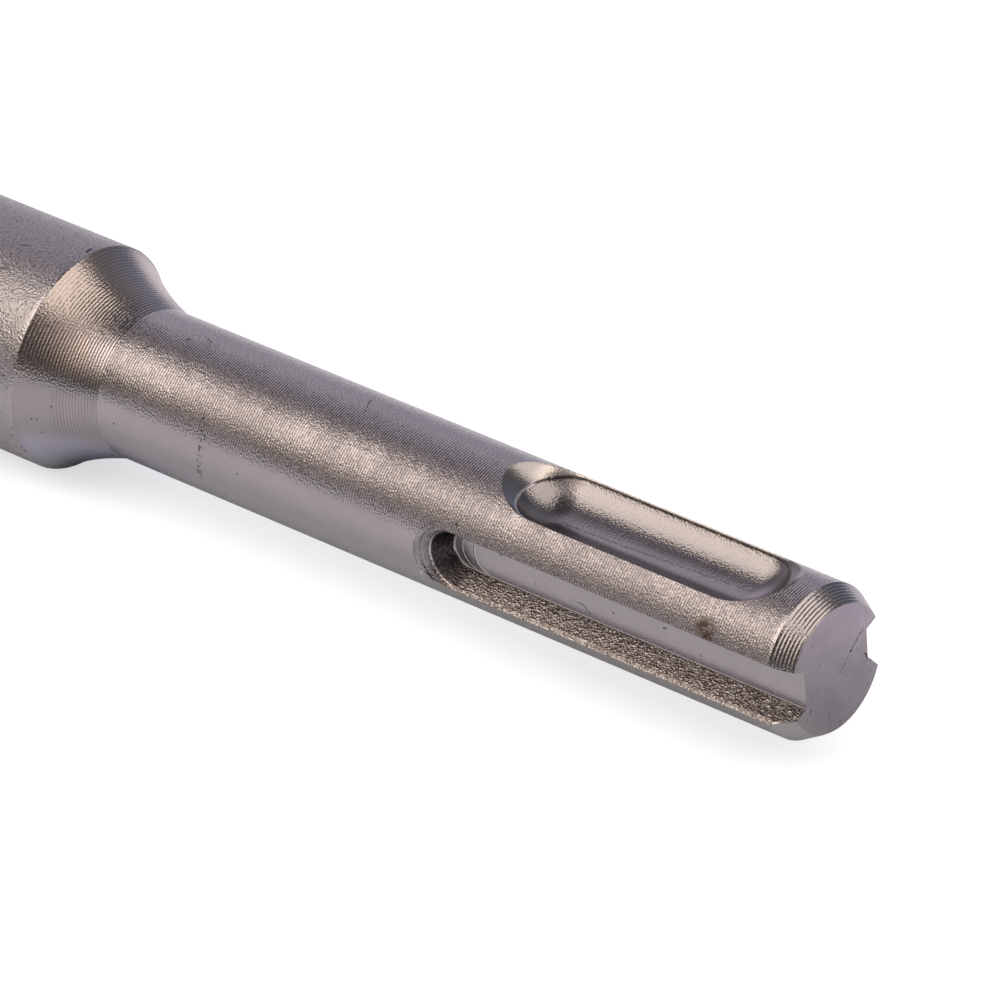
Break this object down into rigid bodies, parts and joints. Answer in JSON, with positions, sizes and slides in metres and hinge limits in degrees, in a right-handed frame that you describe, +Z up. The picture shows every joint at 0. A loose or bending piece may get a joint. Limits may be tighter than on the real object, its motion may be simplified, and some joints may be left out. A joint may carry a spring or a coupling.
{
  "type": "sds plus drill bit",
  "caption": "Hammer drill bit: a slotted round shank, a conical neck, a plain body and a right-hand two-flute helix that ends in a brazed cutting plate.",
  "frame": {"origin": "centre of the shank's flat end face, on the axis of the bit", "axes": "+X runs along the axis out of the shank's end, so the tip points to -X; +Z is up through one locking pocket; +Y runs sideways through one drive groove"},
  "size_m": [0.21, 0.0164, 0.0152],
  "materials": {
    "blasted_steel": "turned and lightly shot-blasted steel, satin",
    "hard_metal": "sintered hard metal, dull with ground faces",
    "braze_alloy": "brazing alloy, dull"
  },
  "bodies": {
    "root": {"steel_body": "blasted_steel", "carbide_plate": "hard_metal", "braze_seam": "braze_alloy"}
  },
  "joints": []
}
